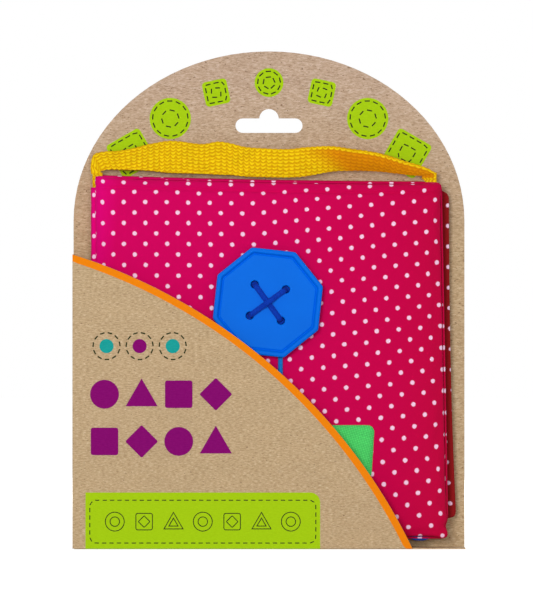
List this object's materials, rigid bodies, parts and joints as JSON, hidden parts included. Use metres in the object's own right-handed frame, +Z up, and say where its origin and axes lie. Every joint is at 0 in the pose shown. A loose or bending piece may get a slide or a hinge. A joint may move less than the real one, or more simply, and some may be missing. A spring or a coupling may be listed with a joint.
{
  "type": "cloth busy board in a card pack",
  "caption": "Folded padded cloth busy board with a big laced button, webbing handle and inner activities, held in an arched card pack with a curved front pocket.",
  "frame": {"origin": "middle of the card pack's foot, on the surface it stands on", "axes": "+Z up, -Y out of the pack's front, +X to the right as seen from the front"},
  "size_m": [0.2, 0.03, 0.254],
  "materials": {
    "kraft_board": "matte kraft board",
    "dotted_cotton": "woven cotton with white polka dots",
    "wadding": "soft polyester wadding",
    "blue_lining": "plain woven cotton",
    "yellow_webbing": "herringbone webbing",
    "green_cloth": "coarse plain weave",
    "light_blue_cord": "round cord",
    "dark_blue_cord": "flat lace",
    "white_lace": "round lace",
    "orange_webbing": "webbing",
    "belt_cloth": "imitation leather",
    "orange_felt": "stiff felt",
    "blue_plastic": "smooth moulded plastic",
    "yellow_plastic": "smooth moulded plastic",
    "red_plastic": "smooth moulded plastic",
    "white_plastic": "satin moulded plastic",
    "lime_plastic": "satin moulded plastic",
    "polished_steel": "nickel plated"
  },
  "bodies": {
    "card": {"back_card": "kraft_board", "bottom_wall": "kraft_board"},
    "sleeve": {"front_panel": "kraft_board", "side_wall": "kraft_board", "foot_flap": "kraft_board"},
    "board": {"rear_cloth": "dotted_cotton", "rear_wadding": "wadding", "rear_lining": "blue_lining", "handle_end_left": "yellow_webbing", "handle_end_right": "yellow_webbing", "dial_plate": "yellow_plastic", "dial_pin": "white_plastic", "belt_strap": "belt_cloth", "buckle_frame": "polished_steel", "buckle_tab": "belt_cloth", "belt_keeper": "belt_cloth"},
    "handle": {"handle_strap": "yellow_webbing"},
    "spine": {"spine_strip": "dotted_cotton"},
    "cover": {"cover_cloth": "dotted_cotton", "cover_wadding": "wadding", "cover_lining": "blue_lining", "green_tab": "green_cloth", "cord_loop": "light_blue_cord", "lacing_panel": "orange_felt", "eyelet_1": "polished_steel", "eyelet_2": "polished_steel", "eyelet_3": "polished_steel", "eyelet_4": "polished_steel", "eyelet_5": "polished_steel", "eyelet_6": "polished_steel", "lace": "white_lace", "lace_tip_1": "white_plastic", "lace_tip_2": "white_plastic", "clip_socket": "lime_plastic", "clip_strap_socket": "orange_webbing", "clip_patch_socket": "green_cloth", "clip_patch_plug": "green_cloth"},
    "button": {"button_plate": "blue_plastic", "button_lace_under": "dark_blue_cord", "button_lace_over": "dark_blue_cord", "button_shank": "dark_blue_cord"},
    "dial": {"dial_wheel": "red_plastic"},
    "prong": {"buckle_prong": "polished_steel"},
    "plug": {"clip_plug": "lime_plastic", "clip_strap_plug": "orange_webbing"}
  },
  "joints": [
    {"name": "pull_out", "type": "slide", "parent": "card", "child": "board", "axis": [0, 0, 1], "range_m": [0, 0.2]},
    {"name": "cover_open", "type": "hinge", "parent": "board", "child": "spine", "pos_m": [-0.0903, 0.0088, 0.0961], "axis": [0, 0, -1], "range_deg": [0, 88]},
    {"name": "cover_fold", "type": "hinge", "parent": "spine", "child": "cover", "pos_m": [-0.0903, 0.0016, 0.0961], "axis": [0, 0, -1], "range_deg": [0, 88]},
    {"name": "sleeve_open", "type": "hinge", "parent": "card", "child": "sleeve", "pos_m": [-0.1003, 0.0144, 0.075], "axis": [0, 0, -1], "range_deg": [0, 176]},
    {"name": "handle_swing", "type": "hinge", "parent": "board", "child": "handle", "pos_m": [0, 0.0074, 0.191], "axis": [1, 0, 0], "range_deg": [0, 60]},
    {"name": "button_twist", "type": "hinge", "parent": "cover", "child": "button", "pos_m": [-0.0006, -0.0068, 0.1255], "axis": [0, -1, 0], "range_deg": [-45, 45], "stiffness_Nm_per_rad": 0.01},
    {"name": "dial_spin", "type": "hinge", "parent": "board", "child": "dial", "pos_m": [-0.04218, 0.0064, 0.13969], "axis": [0, -1, 0], "continuous": true},
    {"name": "prong_swing", "type": "hinge", "parent": "board", "child": "prong", "pos_m": [-0.03815, 0.0055, 0.0803], "axis": [0, 0, -1], "range_deg": [0, 88]},
    {"name": "clip_release", "type": "slide", "parent": "cover", "child": "plug", "axis": [1, 0, 0], "range_m": [0, 0.016], "deforming": ["clip_strap_plug"]}
  ],
  "couplings": [
    {"joint": "cover_fold", "follows": "cover_open", "ratio": 1},
    {"joint": "sleeve_open", "follows": "cover_open", "ratio": 2},
    {"joint": "prong_swing", "follows": "cover_open", "ratio": 1}
  ]
}
